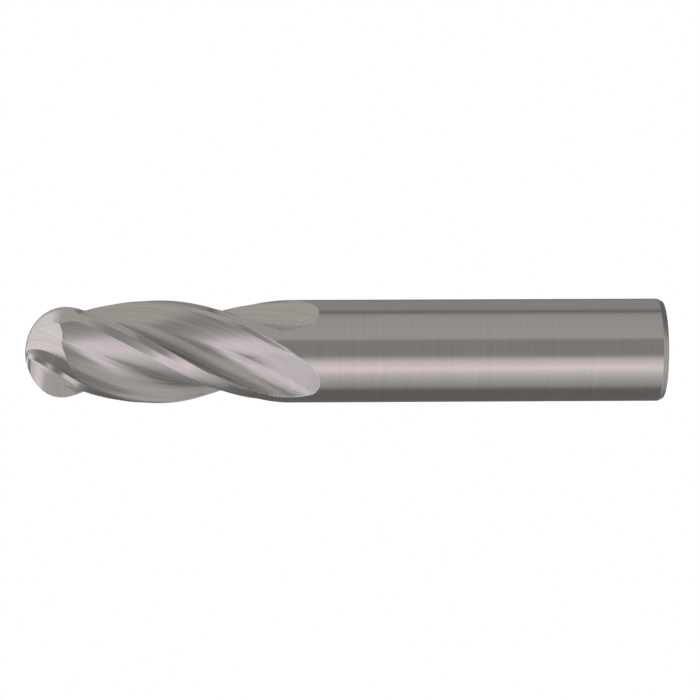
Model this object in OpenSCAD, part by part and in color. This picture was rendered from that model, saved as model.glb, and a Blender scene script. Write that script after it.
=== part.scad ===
// Ball nose end mill, four flutes, ground from one round bar.
// Millimetres. The tool axis is Z. The origin is the centre of the flat shank end, and the ball points to +Z.
// The real tool is one piece. The nodes are its named zones, and they meet face to face.

/* [Size] */
// diameter of the shank and of the cutting circle
tool_d = 12; // [8:0.5:16]
// length from the shank end to the tip of the ball
overall_length = 75; // [60:1:150]
// small bevel round the shank end, measured along the axis
chamfer_length = 0.6; // [0.2:0.1:1.5]
// small bevel round the shank end, measured across the axis
chamfer_depth = 0.3; // [0.1:0.05:0.8]

/* [Flutes] */
// angle between a cutting edge and the axis
helix_angle = 30; // [27:1:33]
// length from the tip to where the last trace of a flute leaves the bar
flute_length = 34; // [32:0.5:45]
// radius across the bottoms of the flutes, as a share of the tool radius
web_ratio = 0.48; // [0.44:0.01:0.54]
// forward lean of the cutting face under its edge
rake_angle = 10; // [6:1:12]
// angle between two edges that stand close together. The next pair is as much wider than a quarter turn
close_pitch = 86.5; // [84:0.5:90]

/* [Lands] */
// angle that the primary land takes up behind the edge
primary_arc = 8.5; // [7:0.5:11]
// clearance angle of the primary land
primary_relief = 9.5; // [7:0.5:12]
// clearance angle of the secondary land
secondary_relief = 29; // [25:1:32]

/* [Ball] */
// lean of the cutting face near the tip, where it leans back
tip_rake = -14; // [-18:1:-8]
// how fast the floor of an end gash gets deeper away from the tip, as a share of the length
gash_slope = 0.76; // [0.72:0.01:0.85]

/* [Part] */
// which node is drawn

/* [Hidden] */
$fn = 96;
quarter = 90;
tool_r = tool_d / 2;
// the grinding sizes are given for a 12 mm tool and grow with it
grow = tool_d / 12;
lead = PI * tool_d / tan(helix_angle);
turn_per_mm = 360 / lead;
shank_length = overall_length - flute_length;
// height at which the first edge faces straight along -Y
edge_z = overall_length - 1.311 * tool_d;
// the ball ends in a small flat where the four edges meet
tip_r = 0.06 * tool_r;
// the four edges stand in two opposite pairs
wide_pitch = 2 * quarter - close_pitch;
edge_turns = [0, wide_pitch, 2 * quarter, 2 * quarter + wide_pitch];

// Radius of the cutting circle at a distance from the tip.
function circle_r(s) = s >= tool_r ? tool_r
    : max(tip_r, sqrt(max(0, tool_r * tool_r - (tool_r - s) * (tool_r - s))));

// Soft step from 0 at `low` to 1 at `high`.
function soft(low, high, x) = let (t = min(1, max(0, (x - low) / (high - low)))) t * t * (3 - 2 * t);

// Turn of the cutting edges at a distance from the tip.
function turn(s) = turn_per_mm * (overall_length - s - edge_z);

// The flutes are the path of a grinding wheel that follows the helix and lifts off at `wheel_stop`.
// The wheel's plane is set at an angle to the axis. Its rim is a cone, its side is flat, its corner is round.
web_r = web_ratio * tool_r;
wheel_r = 39.33 * grow;
wheel_turn = 11.5;
wheel_set = 26.4;
wheel_side = 0.82 * grow;
wheel_corner = 1.9 * grow;
wheel_slope = tan(24);
wheel_stop = flute_length - 10.7 * grow;
wheel_step = 0.8 * grow;
wheel_reach = 10 * grow;
wheel_axis_r = web_r + wheel_r;
// rays that point further away from the wheel than this cosine never meet it
facing_limit = 0.15;

// The rim as cones, [slope, set-back]. Those after the first one round the corner.
corner_leans = [-12, 0.5, 12, 24, 36, 48, 60, 70];
corner_w = wheel_corner - wheel_side;
corner_g = wheel_slope * corner_w + wheel_corner * sqrt(1 + wheel_slope * wheel_slope);
cones = concat([[wheel_slope, 0]], [for (lean = corner_leans)
    [-tan(lean), corner_g - wheel_corner * cos(lean) + tan(lean) * (corner_w - wheel_corner * sin(lean))]]);

// Distance along a ray at which it enters the wheel. The ray passes the axis at `foot`, it points away from
// the wheel's position by `away`, and the wheel stands `dz` off along the axis.
function ray_cut(away, foot, dz, reach) =
    let (c = cos(away), n = sin(away), sb = sin(wheel_set), cb = cos(wheel_set),
         y0 = -foot * c, q1 = n * sb, q0 = y0 * sb + dz * cb, w1 = n * cb, w0 = y0 * cb - dz * sb,
         u = wheel_axis_r - foot * n, side = -wheel_side - w0,
         a0 = c * c + q1 * q1, b0 = q0 * q1 - u * c, e0 = u * u + q0 * q0,
         spans = [for (k = cones)
             let (c0 = wheel_r - k[1] - k[0] * w0, c1 = -k[0] * w1,
                  a = a0 - c1 * c1, b = b0 - c0 * c1, d = b * b - a * (e0 - c0 * c0), q = sqrt(max(0, d)))
             a > 0 ? (d <= 0 || c0 * a < c1 * (b + q) ? [reach, 0] : [(-b - q) / a, (-b + q) / a])
             : d <= 0 ? [0, reach] : c1 > 0 ? [(-b - q) / a, reach] : [0, (-b + q) / a]],
         first = max(concat([0, w1 > 0 ? side / w1 : 0], [for (p = spans) p[0]])),
         last = min(concat([reach, w1 < 0 ? side / w1 : reach], [for (p = spans) p[1]])))
    first < last ? first : reach;

// How deep the flute is along the ray that starts at `angle` on the cutting circle and leans by `rake`.
function flute_t(angle, s, rake) =
    let (top = circle_r(s), foot = top * sin(rake), reach = top * cos(rake))
    min(concat([reach], [for (tau = [max(-wheel_stop, -s - wheel_reach) : wheel_step : wheel_reach - s])
        let (away = angle + rake - wheel_turn - turn_per_mm * (tau + s))
        if (cos(away) > facing_limit) ray_cut(away, foot, -s - tau, reach)]));

// The cutting face leans forward along the body and back near the tip.
tip_rake_to = 2.5 * grow;
body_rake_from = 6.6 * grow;
function rake_at(s) = rake_angle + (tip_rake - rake_angle) * (1 - soft(tip_rake_to, body_rake_from, s));

// An end gash is a plane that rises from the tip. It turns its face a little to one side.
gash_way = -6.8;
gash_start = 0.35 * grow;
gash_length = 8.5 * grow;
grazing_limit = 0.05;
function gash_t(direction, foot, s, reach) =
    let (lean = direction - gash_way - turn_per_mm * s)
    s > gash_length || cos(lean) < grazing_limit ? reach
    : min(reach, max(0, (gash_start + gash_slope * s - foot * sin(lean)) / cos(lean)));

// Radius of the lands at an angle behind the edge. The primary land runs out before the secondary land does.
// Near the tip the lands get steeper and take up more angle, because the circle gets smaller.
primary_end = flute_length - 10 * grow;
primary_fade = 2.5 * grow;
secondary_end = flute_length - 5.7 * grow;
secondary_fade = 5 * grow;
most_swell = 3.2;
relief_power = 0.6;
ball_arc_loss = 0.25;
ball_land_to = 3 * grow;
body_land_from = 7 * grow;
least_step = 7;
function land_r(behind, s) =
    let (top = circle_r(s),
         swell = min(most_swell, tool_r / top),
         arc = primary_arc * (1 - ball_arc_loss * (1 - soft(ball_land_to, body_land_from, s))) * swell,
         relief = atan(tan(primary_relief) * pow(swell, relief_power)),
         lean = max(atan(tan(secondary_relief) * pow(swell, relief_power)), arc + least_step),
         full = cos(relief) / cos(min(behind, arc) - relief),
         primary = 1 - (1 - min(1, full)) * (1 - soft(primary_end, primary_end + primary_fade, s)),
         flat = cos(relief) / cos(arc - relief) * cos(lean - arc),
         rise = pow(max(0, s - secondary_end) / secondary_fade, 2),
         secondary = (flat + (1 - flat) * rise) / cos(behind - lean))
    top * (behind <= arc ? primary : min(primary, secondary));

// Columns of a section from one edge to the next, as angles in an evenly spaced tool.
// They stand close together under the edge, where the cutting face drops away, and across the lands.
face_columns = [0, 0.15, 0.8, 2, 4, 7];
back_steps = 16;
back_start = face_columns[len(face_columns) - 1];
back_end = 66;
heel_columns = [for (behind = [21, 19, 17, 15.5, 13, 10.5, 8.5, 6, 3, 0]) quarter - behind];
back_columns = [for (i = [1 : back_steps]) back_start + (back_end - back_start) * i / back_steps];
columns = concat(face_columns, back_columns, heel_columns);
last_column = len(columns) - 1;
// the teeth meet in the middle of each back slope
seam_step = 10;
seam_column = len(face_columns) + seam_step;
// the columns take up the uneven pitch between these two angles
stretch_from = 15;
stretch_to = 50;
// the wheel widens each flute between these two angles, and more in a wide pitch
widen_from = 4;
widen_to = 34;
widening = 3;

// One point of a section. `depths` is the evenly spaced flute's depth on each column.
function section_point(j, s, pitch, depths) =
    let (top = circle_r(s), rake = rake_at(s), foot = top * sin(rake), reach = top * cos(rake),
         angle = columns[j] + (pitch - quarter) * soft(stretch_from, stretch_to, columns[j]),
         even = angle - (widening + max(0, pitch - quarter)) * soft(widen_from, widen_to, angle),
         base = lookup(even, [for (i = [0 : last_column]) [columns[i], depths[i]]]),
         cut = min(base, gash_t(angle + rake, foot, s, reach)),
         land = land_r(pitch - angle, s),
         deep = min(cut, sqrt(max(0, land * land - foot * foot))),
         t = j == 0 || j == last_column ? reach : deep,
         way = angle + rake)
    [t * cos(way) + foot * sin(way), t * sin(way) - foot * cos(way)];

// Rows of the toothed length, as distances from the tip, from the shank on.
runout_rows = 24;
body_rows = 14;
ball_rows = 16;
body_start = wheel_stop - 2 * grow;
// along the body every section is the same, so its flute is worked out once, at this distance
sample_s = body_start - 10 * grow;
rows = concat(
    [for (i = [0 : runout_rows - 1]) flute_length + (body_start - flute_length) * i / runout_rows],
    [for (i = [0 : body_rows - 1]) body_start + (tool_r - body_start) * i / body_rows],
    [for (i = [0 : ball_rows - 1]) tool_r * (1 - sin(quarter * i / ball_rows))],
    [0]);

// The core is a slim pin that stays under the flutes and under the floors of the end gashes.
core_ratio = 0.46;
core_nose = 0.12 * grow;
core_slope = 0.6;
function core_r(s) = min(core_ratio * tool_r, core_nose + core_slope * s);
inner_steps = 11;
spare_turn = 1.5;
// the corners of the straight steps stand just outside the core's circle
inner_swell = 1 / cos(quarter / inner_steps / 2 + spare_turn);

function turned(p, angle) = [p[0] * cos(angle) - p[1] * sin(angle), p[0] * sin(angle) + p[1] * cos(angle)];
function polar_a(p) = atan2(p[1], p[0]);

// One row of a tooth: from the seam behind it over its land to the seam in front, then back along the core.
function tooth_row(s, depths, edge_turn, behind, ahead) =
    let (z = overall_length - s,
         outer = concat(
             [for (j = [seam_column : last_column])
                 turned(section_point(j, s, behind, depths), turn(s) + edge_turn - behind)],
             [for (j = [1 : seam_column])
                 turned(section_point(j, s, ahead, depths), turn(s) + edge_turn)]),
         end = polar_a(outer[len(outer) - 1]),
         gap = end - polar_a(outer[0]),
         span = gap < 0 ? gap + 360 : gap,
         r = core_r(s) * inner_swell)
    concat(
        [for (p = outer) [p[0], p[1], z]],
        [for (i = [0 : inner_steps])
            let (a = end - span * i / inner_steps) [r * cos(a), r * sin(a), z]]);

// Closed solid through a stack of rows that all have the same number of points.
module stacked(rows) {
    n = len(rows[0]);
    top = (len(rows) - 1) * n;
    points = [for (row = rows) for (p = row) p];
    sides = [for (k = [0 : len(rows) - 2]) for (i = [0 : n - 1])
        let (j = (i + 1) % n, a = k * n)
        each [[a + i, a + n + j, a + j], [a + i, a + n + i, a + n + j]]];
    polyhedron(points, concat([[for (i = [0 : n - 1]) i]], sides, [[for (i = [n - 1 : -1 : 0]) top + i]]));
}

module tooth(number) {
    edge_turn = edge_turns[number - 1];
    behind = number % 2 == 1 ? close_pitch : wide_pitch;
    ahead = number % 2 == 1 ? wide_pitch : close_pitch;
    body = [for (a = columns) flute_t(a, sample_s, rake_angle)];
    stacked([for (s = rows)
        let (is_body = s <= body_start && s > tool_r + grow,
             depths = is_body ? body : [for (a = columns) flute_t(a, s, rake_at(s))])
        tooth_row(s, depths, edge_turn, behind, ahead)]);
}

module shank() {
    color("silver") rotate_extrude() polygon([
        [0, 0], [tool_r - chamfer_depth, 0], [tool_r, chamfer_length], [tool_r, shank_length], [0, shank_length]]);
}

module core() {
    nose_s = (core_ratio * tool_r - core_nose) / core_slope;
    color("darkgray") rotate_extrude() polygon([
        [0, shank_length], [core_r(flute_length), shank_length], [core_r(nose_s), overall_length - nose_s],
        [core_nose, overall_length], [0, overall_length]]);
}

module tooth_1() { color("lightgray") tooth(1); }
module tooth_2() { color("lightgray") tooth(2); }
module tooth_3() { color("lightgray") tooth(3); }
module tooth_4() { color("lightgray") tooth(4); }

shank();
core();
tooth_1();
tooth_2();
tooth_3();
tooth_4();
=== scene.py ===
import bpy
from math import sin, cos, tan, atan2, sqrt, pi, radians
from mathutils import Matrix, Vector


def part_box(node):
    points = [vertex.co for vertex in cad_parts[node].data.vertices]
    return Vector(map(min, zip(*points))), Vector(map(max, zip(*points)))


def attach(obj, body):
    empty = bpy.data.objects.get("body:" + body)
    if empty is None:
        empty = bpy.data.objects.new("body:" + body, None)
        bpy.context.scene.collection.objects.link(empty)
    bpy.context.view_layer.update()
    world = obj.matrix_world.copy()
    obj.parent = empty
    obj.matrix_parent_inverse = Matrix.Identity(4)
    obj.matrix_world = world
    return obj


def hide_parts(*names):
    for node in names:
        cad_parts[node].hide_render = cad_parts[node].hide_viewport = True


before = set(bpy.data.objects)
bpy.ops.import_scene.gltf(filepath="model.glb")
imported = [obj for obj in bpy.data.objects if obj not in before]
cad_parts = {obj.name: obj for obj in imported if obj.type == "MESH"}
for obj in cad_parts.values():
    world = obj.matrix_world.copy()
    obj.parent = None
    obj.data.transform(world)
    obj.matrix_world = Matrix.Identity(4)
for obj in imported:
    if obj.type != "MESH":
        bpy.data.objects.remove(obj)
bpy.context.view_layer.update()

MM = 0.001

# ---------------------------------------------------------------- sizes, in millimetres, from the frame
shank_lo, shank_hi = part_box("shank")
core_lo, core_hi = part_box("core")
R = (shank_hi[0] - shank_lo[0]) / 2 / MM
LENGTH = core_hi[2] / MM
SHANK_TOP = shank_hi[2] / MM
FLUTE_LENGTH = LENGTH - SHANK_TOP
HELIX = radians(30)
LEAD = 2 * pi * R / tan(HELIX)
K = 2 * pi / LEAD           # turn of the edges for each millimetre along the axis
TIP_FLAT = 0.06 * R         # the ball ends in a small flat where the four edges meet
EDGE_S = 1.311 * 2 * R      # distance from the tip at which the first edge faces -Y
CLOSE = 86.5                # the pitches: two opposite pairs of edges stand closer together
WIDE = 180 - CLOSE
EDGE_TURNS = (0.0, WIDE, 180.0, 180 + WIDE)
PITCHES = (WIDE, CLOSE, WIDE, CLOSE)
SEAM = 46.0                 # the teeth meet this many degrees ahead of each edge

# ---------------------------------------------------------------- the grinding wheel of the flutes
WEB = 0.4815 * R
WHEEL_R = 39.33
WHEEL_TURN = radians(11.5)
WHEEL_SET = radians(26.4)
WHEEL_SIDE = 0.82
WHEEL_CORNER = 1.9
WHEEL_SLOPE = tan(radians(24.0))
WHEEL_STOP = 23.3           # distance from the tip at which the wheel lifts off
RAKE = 10.0
WHEEL_STEP = 0.2            # spacing of the wheel positions
WHEEL_REACH = 12.0          # how far along the axis the wheel is felt
FACING_LIMIT = 0.15         # rays that point further away from the wheel than this cosine never meet it

# ---------------------------------------------------------------- the end gashes and the lands
TIP_RAKE = -14.0
RAKE_CHANGE = (2.5, 6.6)    # distances from the tip between which the cutting face changes its lean
GRAZING_LIMIT = 0.05
GASH_WAY = radians(-6.8)
GASH_START = 0.35
GASH_SLOPE = 0.76
GASH_LENGTH = 8.5
PRIMARY_ARC = 8.5
PRIMARY_RELIEF = 9.5
SECONDARY_RELIEF = 29.0
BALL_LAND = (3.0, 7.0)      # distances from the tip between which the primary land gets to its full arc
BALL_ARC_LOSS = 0.25
MOST_SWELL = 3.2            # the lands take up more angle near the tip, but no more than this
RELIEF_POWER = 0.6
LEAST_STEP = 0.12
RUNOUT_FROM = 24.0          # from here on the lands run out and the bar's own surface shows
PRIMARY_END = 26.5
SECONDARY_END = 28.3
SECONDARY_FADE = 5.0
BAR_MARGIN = 0.004          # a surface this close to the bar's radius is the bar's own
CORE_RATIO, CORE_NOSE, CORE_SLOPE = 0.46, 0.12, 0.6
SAMPLE_S = 8.0              # the flute is the same all along the body, so it is worked out once, here


def wheel_cones():
    """The rim of the wheel as cones: slope and set-back of each. The corner is rounded by several."""
    cones = [(WHEEL_SLOPE, 0.0)]
    w0 = WHEEL_CORNER - WHEEL_SIDE
    g0 = WHEEL_SLOPE * w0 + WHEEL_CORNER * sqrt(1 + WHEEL_SLOPE ** 2)
    for lean in range(-20, 77, 6):
        lean = radians(lean)
        k = -tan(lean)
        cones.append((k, g0 - WHEEL_CORNER * cos(lean) - k * (w0 - WHEEL_CORNER * sin(lean))))
    return cones


CONES = wheel_cones()


def circle_r(s):
    """Radius of the cutting circle at a distance from the tip."""
    if s >= R:
        return R
    return max(TIP_FLAT, sqrt(max(0.0, R * R - (R - s) ** 2)))


def smooth(lo, hi, x):
    """Soft step from 0 at lo to 1 at hi."""
    t = min(1.0, max(0.0, (x - lo) / (hi - lo)))
    return t * t * (3 - 2 * t)


def rake_at(s):
    """Lean of the cutting face in degrees: forward along the body, back near the tip."""
    return RAKE + (TIP_RAKE - RAKE) * (1 - smooth(*RAKE_CHANGE, s))


def wheel_entry(a, s, gamma, top):
    """Distance along the ray that leaves the cutting circle at angle a, where a wheel first meets it."""
    d0 = top * sin(gamma)
    best = sqrt(top * top - d0 * d0)
    X = WEB + WHEEL_R
    sb, cb = sin(WHEEL_SET), cos(WHEEL_SET)
    al = a + gamma
    tau = max(-WHEEL_STOP, -s - WHEEL_REACH) - WHEEL_STEP
    while tau < -s + WHEEL_REACH:
        tau += WHEEL_STEP
        dz = -s - tau
        de = al - (WHEEL_TURN + K * (tau + s))
        c, sn = cos(de), sin(de)
        if c < FACING_LIMIT:
            continue
        x0, y0 = d0 * sn, -d0 * c
        q1, q0 = sn * sb, y0 * sb + dz * cb
        w1, w0 = sn * cb, y0 * cb - dz * sb
        tin, tout = 0.0, best
        if w1 > 1e-9:
            tin = max(tin, (-WHEEL_SIDE - w0) / w1)
        elif w1 < -1e-9:
            tout = min(tout, (-WHEEL_SIDE - w0) / w1)
        if tin >= tout:
            continue
        U = X - x0
        a0, b0, e0 = c * c + q1 * q1, -U * c + q0 * q1, U * U + q0 * q0
        for k, back in CONES:
            c0, c1 = WHEEL_R - back - k * w0, -k * w1
            A = a0 - c1 * c1
            B = b0 - c0 * c1
            D = B * B - A * (e0 - c0 * c0)
            if A > 0:
                if D <= 0 or c0 * A < c1 * (B + sqrt(D)):
                    break
                tin = max(tin, (-B - sqrt(D)) / A)
                tout = min(tout, (-B + sqrt(D)) / A)
            elif D > 0:                                 # a ray steeper than the cone meets it once
                if c1 > 0:
                    tin = max(tin, (-B - sqrt(D)) / A)
                else:
                    tout = min(tout, (-B + sqrt(D)) / A)
            if tin >= tout:
                break
        else:
            best = tin
    return best


def gash_entry(al, d0, s, reach):
    """Floor of the end gash: a plane that rises from near the tip and turns its face to one side."""
    lean = al - (GASH_WAY + K * s)
    if cos(lean) < GRAZING_LIMIT:
        return reach
    return min(reach, max(0.0, (GASH_START + GASH_SLOPE * s - d0 * sin(lean)) / cos(lean)))


def land_r(phi, s, top):
    """Radius of the lands at an angle phi behind the edge."""
    on_ball = 1 - smooth(*BALL_LAND, s)
    swell = min(MOST_SWELL, R / top)
    arc1 = radians(PRIMARY_ARC) * (1 - BALL_ARC_LOSS * on_ball) * swell
    rel1 = atan2(tan(radians(PRIMARY_RELIEF)) * swell ** RELIEF_POWER, 1)
    rel2 = atan2(tan(radians(SECONDARY_RELIEF)) * swell ** RELIEF_POWER, 1)
    full1 = cos(rel1) / cos(min(phi, arc1) - rel1)
    r1 = 1 - (1 - min(1.0, full1)) * (1 - smooth(RUNOUT_FROM, PRIMARY_END, s))
    if phi <= arc1:
        return top * r1
    lean = max(rel2, arc1 + LEAST_STEP)
    dist = cos(rel1) / cos(arc1 - rel1) * cos(lean - arc1)
    if s > SECONDARY_END:
        dist += (1.0 - dist) * ((s - SECONDARY_END) / SECONDARY_FADE) ** 2
    return top * min(r1, dist / cos(phi - lean))


# columns across an even pitch, close together where the cutting face drops away
COLS = [0.0, 0.12, 0.3, 0.55, 0.85, 1.2, 1.6, 2.1, 2.7, 3.4, 4.2, 5.1, 6.1, 7.2, 8.4, 9.7, 11, 12.3]
EVEN_FROM, EVEN_STEPS = 12.3, 96
COLS += [EVEN_FROM + (90 - EVEN_FROM) * i / EVEN_STEPS for i in range(1, EVEN_STEPS + 1)]
NC = len(COLS)
FLUTE_SIDE, GASH_SIDE, LAND_SIDE, BAR_SIDE = 0, 1, 2, 3
STRETCH = (15, 50)          # the columns take up the uneven pitch between these two angles
WIDEN = (4, 34)             # the wheel widens each flute between these two, and more in a wide pitch
WIDENING = 3.0


def place(pitch):
    """Each column's angle in an uneven pitch, and where in an even flute its depth is found."""
    shift = WIDENING + max(0.0, pitch - 90)
    out = []
    for deg in COLS:
        a = deg + (pitch - 90) * smooth(*STRETCH, deg)
        b = min(90.0, max(0.0, a - shift * smooth(*WIDEN, a)))
        i = max(k for k in range(NC - 1) if COLS[k] <= b)
        out.append((radians(a), i, (b - COLS[i]) / (COLS[i + 1] - COLS[i])))
    return out


PLACES = {p: place(p) for p in (CLOSE, WIDE)}


def ring(s, base, pitch):
    """Cross-section of one pitch, its edge at angle 0: a point and the kind of surface for each column."""
    top = circle_r(s)
    gamma = radians(rake_at(s))
    d0 = top * sin(gamma)
    reach = sqrt(top * top - d0 * d0)
    out = []
    for j, (a, i, f) in enumerate(PLACES[pitch]):
        kind = FLUTE_SIDE
        t = base[i] * (1 - f) + base[i + 1] * f
        if s < GASH_LENGTH:
            g = gash_entry(a + gamma, d0, s, reach)
            if g < t:
                t, kind = g, GASH_SIDE
        r = sqrt(t * t + d0 * d0)
        lr = land_r(radians(pitch) - a, s, top)
        if lr < r:
            r, kind = lr, LAND_SIDE
            t = sqrt(max(0.0, r * r - d0 * d0))
        if s > RUNOUT_FROM and r > R - BAR_MARGIN:
            kind = BAR_SIDE
        if j == 0 or j == NC - 1:
            t = reach
        al = a + gamma
        out.append((t * cos(al) + d0 * sin(al), t * sin(al) - d0 * cos(al), kind))
    return out


def rings():
    """Every cross-section from the shank to the tip, for the wide and the close pitch."""
    ds = 0.1
    runout_end = WHEEL_STOP - 2
    ss = []
    s = FLUTE_LENGTH
    while s > runout_end:
        ss.append(s)
        s -= ds
    while s > R + 1.5:
        ss.append(s)
        s -= 2 * ds
    while s > R:
        ss.append(s)
        s -= ds
    n = 110
    ss += [R * (1 - sin(pi / 2 * i / n)) for i in range(n)]
    ss.append(0.0)
    even = [wheel_entry(radians(d), SAMPLE_S, radians(RAKE), R) for d in COLS]
    out = []
    for s in ss:
        base = even
        if s > runout_end or s < R + 1:
            base = [wheel_entry(radians(d), s, radians(rake_at(s)), circle_r(s)) for d in COLS]
        out.append((s, {p: ring(s, base, p) for p in (CLOSE, WIDE)}))
    return out


DATA = rings()
SEAM_COL = min(range(NC), key=lambda j: abs(COLS[j] - SEAM))


def inner_r(s):
    """Radius of the core, which the teeth stand on."""
    return min(CORE_RATIO * R, CORE_NOSE + CORE_SLOPE * s)


def tooth(index, materials):
    """One tooth as a closed solid: its land, both half flutes, and a plain inner side on the core."""
    n_in = 8                # steps along the core
    flat, kinds = [], []
    for s, pts in DATA:
        z = LENGTH - s
        turn = K * (EDGE_S - s) + radians(EDGE_TURNS[index])
        behind, ahead = PITCHES[index - 1], PITCHES[index]
        row = []
        for j, a, pitch in [(j, turn - radians(behind), behind) for j in range(SEAM_COL, NC)] + \
                           [(j, turn, ahead) for j in range(1, SEAM_COL + 1)]:
            x, y, kind = pts[pitch][j]
            row.append((x * cos(a) - y * sin(a), x * sin(a) + y * cos(a), z, kind))
        x, y = row[-1][:2]
        a1 = atan2(y, x)
        span = (a1 - atan2(row[0][1], row[0][0])) % (2 * pi)
        ri = min(inner_r(s), 0.9 * sqrt(x * x + y * y))
        for i in range(n_in + 1):
            a = a1 - span * i / n_in
            row.append((ri * cos(a), ri * sin(a), z, FLUTE_SIDE))
        flat += [(x * MM, y * MM, z * MM) for x, y, z, kind in row]
        kinds += [kind for x, y, z, kind in row]
        n = len(row)
    rows = len(DATA)
    faces, slots = [], []
    for k in range(rows - 1):
        for i in range(n):
            j = (i + 1) % n
            faces.append((k * n + i, k * n + j, (k + 1) * n + j, (k + 1) * n + i))
            slots.append(kinds[(k + 1) * n + j])
    faces.append(tuple(range(n - 1, -1, -1)))
    faces.append(tuple((rows - 1) * n + i for i in range(n)))
    slots += [FLUTE_SIDE, GASH_SIDE]
    name = "tooth_%d_ground" % (index + 1)
    mesh = bpy.data.meshes.new(name)
    mesh.from_pydata(flat, [], faces)
    for m in materials:
        mesh.materials.append(m)
    mesh.polygons.foreach_set("material_index", slots)
    mesh.shade_smooth()
    mesh.set_sharp_from_angle(angle=radians(16))
    obj = bpy.data.objects.new(name, mesh)
    bpy.context.scene.collection.objects.link(obj)
    return obj


# ---------------------------------------------------------------- materials
def new_material(name):
    """An empty material and its node tree."""
    m = bpy.data.materials.new(name)
    m.use_nodes = True
    nt = m.node_tree
    nt.nodes.clear()
    return m, nt


def add(nt, kind, **values):
    """A new node with some of its settings."""
    node = nt.nodes.new(kind)
    for key, v in values.items():
        setattr(node, key, v)
    return node


def link(nt, a, b):
    nt.links.new(a, b)


def math_node(nt, op, a, b):
    """The result of a sum between two numbers or sockets."""
    node = add(nt, "ShaderNodeMath", operation=op)
    for i, v in enumerate((a, b)):
        if isinstance(v, (int, float)):
            node.inputs[i].default_value = v
        else:
            link(nt, v, node.inputs[i])
    return node.outputs[0]


def ramp(nt, fac, stops):
    """A colour ramp from (position, colour) pairs."""
    node = add(nt, "ShaderNodeValToRGB")
    el = node.color_ramp.elements
    while len(el) > 1:
        el.remove(el[-1])
    for i, (pos, col) in enumerate(stops):
        e = el.new(pos) if i else el[0]
        e.position = pos
        e.color = tuple(col) + (1.0,)
    link(nt, fac, node.inputs[0])
    return node.outputs[0]


def ground_metal(name, lay, tint, rough, contrast, height):
    """Ground carbide: a dark bright metal with the lay of the grinding wheel in colour, gloss and height."""
    m, nt = new_material(name)
    out = add(nt, "ShaderNodeOutputMaterial")
    bsdf = add(nt, "ShaderNodeBsdfPrincipled")
    link(nt, bsdf.outputs[0], out.inputs[0])
    bsdf.inputs["Metallic"].default_value = 1.0
    coord = add(nt, "ShaderNodeTexCoord")
    base = coord.outputs["Object"]
    sep = add(nt, "ShaderNodeSeparateXYZ")
    link(nt, base, sep.inputs[0])
    if lay == "round":
        stretch, fine_stretch = (60.0, 60.0, 2600.0), (200.0, 200.0, 12000.0)
    else:
        rot = add(nt, "ShaderNodeVectorRotate", rotation_type="Z_AXIS")
        link(nt, base, rot.inputs["Vector"])
        twist = -K / MM * (1.0 if lay == "helix" else 2.4)
        link(nt, math_node(nt, "MULTIPLY", sep.outputs[2], twist), rot.inputs["Angle"])
        base = rot.outputs[0]
        stretch, fine_stretch = (2400.0, 2400.0, 60.0), (7000.0, 7000.0, 160.0)
        if lay == "gash":
            flat = add(nt, "ShaderNodeVectorMath", operation="MULTIPLY")
            link(nt, base, flat.inputs[0])
            flat.inputs[1].default_value = (1, 1, 0)
            unit = add(nt, "ShaderNodeVectorMath", operation="NORMALIZE")
            link(nt, flat.outputs[0], unit.inputs[0])
            scaled = add(nt, "ShaderNodeVectorMath", operation="SCALE")
            link(nt, unit.outputs[0], scaled.inputs[0])
            scaled.inputs["Scale"].default_value = 0.6 * R * MM
            base = scaled.outputs[0]

    def scaled_by(value, share):
        return math_node(nt, "MULTIPLY", value, share)

    def noise(scale, detail, seed):
        mp = add(nt, "ShaderNodeMapping")
        mp.inputs["Scale"].default_value = scale
        mp.inputs["Location"].default_value = (seed, seed * 0.7, seed * 1.3)
        link(nt, base, mp.inputs["Vector"])
        nz = add(nt, "ShaderNodeTexNoise")
        nz.inputs["Scale"].default_value = 1.0
        nz.inputs["Detail"].default_value = detail
        link(nt, mp.outputs[0], nz.inputs["Vector"])
        return nz.outputs["Fac"]

    coarse = noise(stretch, 3.0, 1.7)
    fine = noise(fine_stretch, 2.0, 5.1)
    cloud = noise((160.0, 160.0, 90.0), 3.0, 9.3)
    marks = math_node(nt, "ADD", scaled_by(coarse, 0.6), scaled_by(fine, 0.4))
    dark = tuple(v * (1 - contrast) for v in tint)
    light = tuple(min(1.0, v * (1 + contrast)) for v in tint)
    col = ramp(nt, marks, [(0.34, dark), (0.52, tint), (0.68, light)])
    link(nt, col, bsdf.inputs["Base Color"])
    mix = math_node(nt, "ADD", scaled_by(marks, 0.6), scaled_by(cloud, 0.4))
    r = add(nt, "ShaderNodeMapRange")
    r.inputs["From Min"].default_value = 0.35
    r.inputs["From Max"].default_value = 0.65
    r.inputs["To Min"].default_value = rough * 0.8
    r.inputs["To Max"].default_value = rough * 1.25
    link(nt, mix, r.inputs["Value"])
    link(nt, r.outputs[0], bsdf.inputs["Roughness"])
    bump = add(nt, "ShaderNodeBump")
    bump.inputs["Strength"].default_value = 1.0
    bump.inputs["Distance"].default_value = height
    link(nt, marks, bump.inputs["Height"])
    link(nt, bump.outputs[0], bsdf.inputs["Normal"])
    return m


FLUTE = ground_metal("ground_flutes", "helix", (0.62, 0.605, 0.60), 0.24, 0.12, 0.0000012)
GASH = ground_metal("ground_gash", "gash", (0.64, 0.62, 0.61), 0.20, 0.12, 0.000002)
LAND = ground_metal("ground_lands", "helix", (0.62, 0.60, 0.60), 0.15, 0.07, 0.000001)
SHANK = ground_metal("ground_shank", "round", (0.60, 0.585, 0.575), 0.14, 0.035, 0.00000012)

# ---------------------------------------------------------------- pieces
for i in range(4):
    t = tooth(i, (FLUTE, GASH, LAND, SHANK))
    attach(t, "root")
    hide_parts("tooth_%d" % (i + 1))


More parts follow.
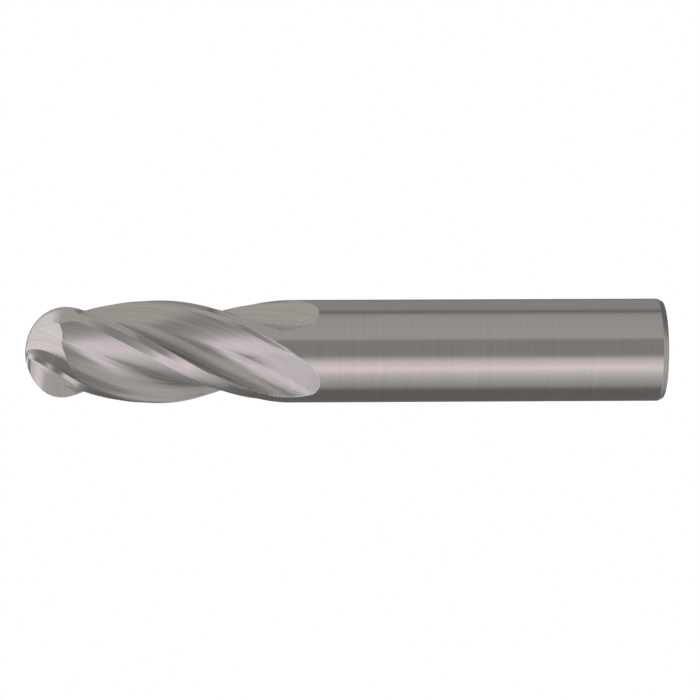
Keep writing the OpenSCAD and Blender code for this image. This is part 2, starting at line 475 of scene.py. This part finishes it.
def lathe(name, profile, count):
    """A turned solid from (radius, height) pairs in millimetres."""
    verts, faces = [], []
    for r, z in profile:
        for i in range(count):
            a = 2 * pi * i / count
            verts.append((r * cos(a) * MM, r * sin(a) * MM, z * MM))
    for k in range(len(profile) - 1):
        for i in range(count):
            j = (i + 1) % count
            faces.append((k * count + i, k * count + j, (k + 1) * count + j, (k + 1) * count + i))
    faces.append(tuple(range(count - 1, -1, -1)))
    top = (len(profile) - 1) * count
    faces.append(tuple(top + i for i in range(count)))
    mesh = bpy.data.meshes.new(name)
    mesh.from_pydata(verts, [], faces)
    mesh.shade_smooth()
    mesh.set_sharp_from_angle(angle=radians(24))
    obj = bpy.data.objects.new(name, mesh)
    bpy.context.scene.collection.objects.link(obj)
    return obj


shank = lathe("shank_ground", [(R - 0.34, 0.0), (R - 0.3, 0.015), (R - 0.02, 0.56), (R, 0.62),
                               (R, 0.7), (R, 2.0), (R, SHANK_TOP - 0.5), (R, SHANK_TOP)], 256)
shank.data.materials.append(SHANK)
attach(shank, "root")
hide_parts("shank")

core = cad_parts["core"]
core.data.materials.clear()
core.data.materials.append(FLUTE)

# ---------------------------------------------------------------- studio
# Rings of light round the tool axis, one over another. They are shaped for what the bright metal shows
# from the camera's side, so they are less plain than one softbox.
world = bpy.data.worlds.new("studio")
bpy.context.scene.world = world
world.use_nodes = True
wt = world.node_tree
wt.nodes.clear()
wout = wt.nodes.new("ShaderNodeOutputWorld")
bg = wt.nodes.new("ShaderNodeBackground")
wt.links.new(bg.outputs[0], wout.inputs[0])
tc = wt.nodes.new("ShaderNodeTexCoord")
sep = wt.nodes.new("ShaderNodeSeparateXYZ")
wt.links.new(tc.outputs["Generated"], sep.inputs[0])
# angle round the tool axis, 0 towards -Y and positive towards +X, as 0..1
neg_y = math_node(wt, "MULTIPLY", sep.outputs[1], -1.0)
ang = math_node(wt, "ARCTAN2", sep.outputs[0], neg_y)
fac = math_node(wt, "ADD", math_node(wt, "DIVIDE", ang, 2 * pi), 0.5)


WARMTH = 0.025              # how far the greys lean towards red and away from blue


def sky(stops):
    """Colour round the tool axis, from (angle, brightness or colour) pairs."""
    out = []
    for angle, v in stops:
        colour = v if isinstance(v, tuple) else (v * (1 + WARMTH), v, v * (1 - WARMTH))
        out.append((angle / 360.0 + 0.5, colour))
    return ramp(wt, fac, out)


def blend_sky(lower, upper, lo, hi):
    """One ring of sky over another: the change runs from lo to hi along the tool axis."""
    w = wt.nodes.new("ShaderNodeMapRange")
    w.interpolation_type = "SMOOTHSTEP"
    w.inputs["From Min"].default_value = lo
    w.inputs["From Max"].default_value = hi
    wt.links.new(sep.outputs[2], w.inputs["Value"])
    mix = wt.nodes.new("ShaderNodeMix")
    mix.data_type = "RGBA"
    wt.links.new(w.outputs[0], mix.inputs["Factor"])
    wt.links.new(lower, mix.inputs[6])
    wt.links.new(upper, mix.inputs[7])
    return mix.outputs[2]


PINK = (0.97, 0.86, 0.91)
BRIGHT_PINK = (1.08, 0.96, 0.99)
DULL_PINK = (0.80, 0.72, 0.74)
OLIVE = (0.53, 0.502, 0.45)
WARM_WHITE = (1.0, 0.95, 0.93)
shank_end_sky = sky([(-179, 0.20), (-140, 0.22), (-110, 0.42), (-60, 0.52), (20, 0.50), (48, 0.34),
                     (75, 0.22), (100, 0.18), (140, 0.18), (179, 0.20)])
middle_sky = sky([(-179, 0.16), (-150, 0.16), (-99, 0.17), (-90, 0.34), (-60, 0.62), (-41, BRIGHT_PINK),
                  (-24, DULL_PINK), (-11, 0.31), (22, 0.30), (28, 0.48), (70, 0.46), (88, 0.42),
                  (95, 0.22), (101, 0.22), (106, 0.36), (140, 0.34), (179, 0.16)])
tip_side_sky = sky([(-179, 0.28), (-140, 0.34), (-118, 0.52), (-95, 0.72), (-75, PINK), (-45, PINK),
                    (-32, 0.58), (-18, 0.44), (0, 0.36), (20, 0.30), (30, 0.36), (48, OLIVE), (110, OLIVE),
                    (130, 0.50), (160, 0.60), (179, 0.35)])
tip_sky = sky([(-179, 0.90), (-130, 0.90), (-118, 0.50), (-100, 0.30), (-60, 0.20), (-10, 0.22),
               (10, 0.34), (60, 0.40), (85, 0.50), (105, 0.90), (179, 0.90)])
whole = blend_sky(shank_end_sky, middle_sky, -0.34, -0.17)
whole = blend_sky(whole, tip_side_sky, -0.04, 0.15)
whole = blend_sky(whole, tip_sky, 0.46, 0.62)
cap_sky = sky([(-179, 0.24), (-100, 0.26), (-78, WARM_WHITE), (62, WARM_WHITE), (90, 0.60), (179, 0.30)])
whole = blend_sky(whole, cap_sky, 0.74, 0.88)
wt.links.new(whole, bg.inputs["Color"])
bg.inputs["Strength"].default_value = 1.0


def stage_object(name, verts, faces):
    """A white surface that only the camera sees."""
    mesh = bpy.data.meshes.new(name)
    mesh.from_pydata(verts, [], faces)
    obj = bpy.data.objects.new(name, mesh)
    bpy.context.scene.collection.objects.link(obj)
    m, nt = new_material(name + "_white")
    out = add(nt, "ShaderNodeOutputMaterial")
    em = add(nt, "ShaderNodeEmission")
    em.inputs["Color"].default_value = (1, 1, 1, 1)
    em.inputs["Strength"].default_value = 1.0
    link(nt, em.outputs[0], out.inputs[0])
    mesh.materials.append(m)
    obj.visible_glossy = False
    obj.visible_diffuse = False
    obj.visible_shadow = False
    obj.visible_transmission = False
    return obj


far = 12.0
stage_object("floor", [(-far, -far, 0), (far, -far, 0), (far, far, 0), (-far, far, 0)], [(0, 1, 2, 3)])
box_v = [(x, y, z) for x in (-far, far) for y in (-far, far) for z in (-0.001, far)]
box_f = [(0, 1, 3, 2), (4, 6, 7, 5), (0, 4, 5, 1), (2, 3, 7, 6), (1, 5, 7, 3)]
stage_object("backdrop", box_v, box_f)

# ---------------------------------------------------------------- camera
YAW = radians(7.3)
ROLL = radians(0.25)
DISTANCE = 1.3
FRAME_WIDTH = 0.08183
FRAME_CENTRE = 38.12        # distance of the middle of the frame from the tip, in millimetres
FRAME_RISE = 0.000117
view_axis = Vector((0, -cos(YAW), sin(YAW)))
right = Vector((0, -sin(YAW), -cos(YAW)))
up_v = Vector((1, 0, 0))
r2 = right * cos(ROLL) + up_v * -sin(ROLL)
u2 = up_v * cos(ROLL) + right * sin(ROLL)
target = Vector((0, 0, (LENGTH - FRAME_CENTRE) * MM)) + up_v * FRAME_RISE
cam = bpy.data.cameras.new("camera")
cam.sensor_width = 36.0
cam.lens = 36.0 * DISTANCE / FRAME_WIDTH
cam.clip_end = 50
cam_obj = bpy.data.objects.new("camera", cam)
bpy.context.scene.collection.objects.link(cam_obj)
placing = Matrix((r2, u2, view_axis)).transposed().to_4x4()
placing.translation = target + view_axis * DISTANCE
cam_obj.matrix_world = placing
bpy.context.scene.camera = cam_obj
bpy.context.scene.view_settings.view_transform = "Standard"
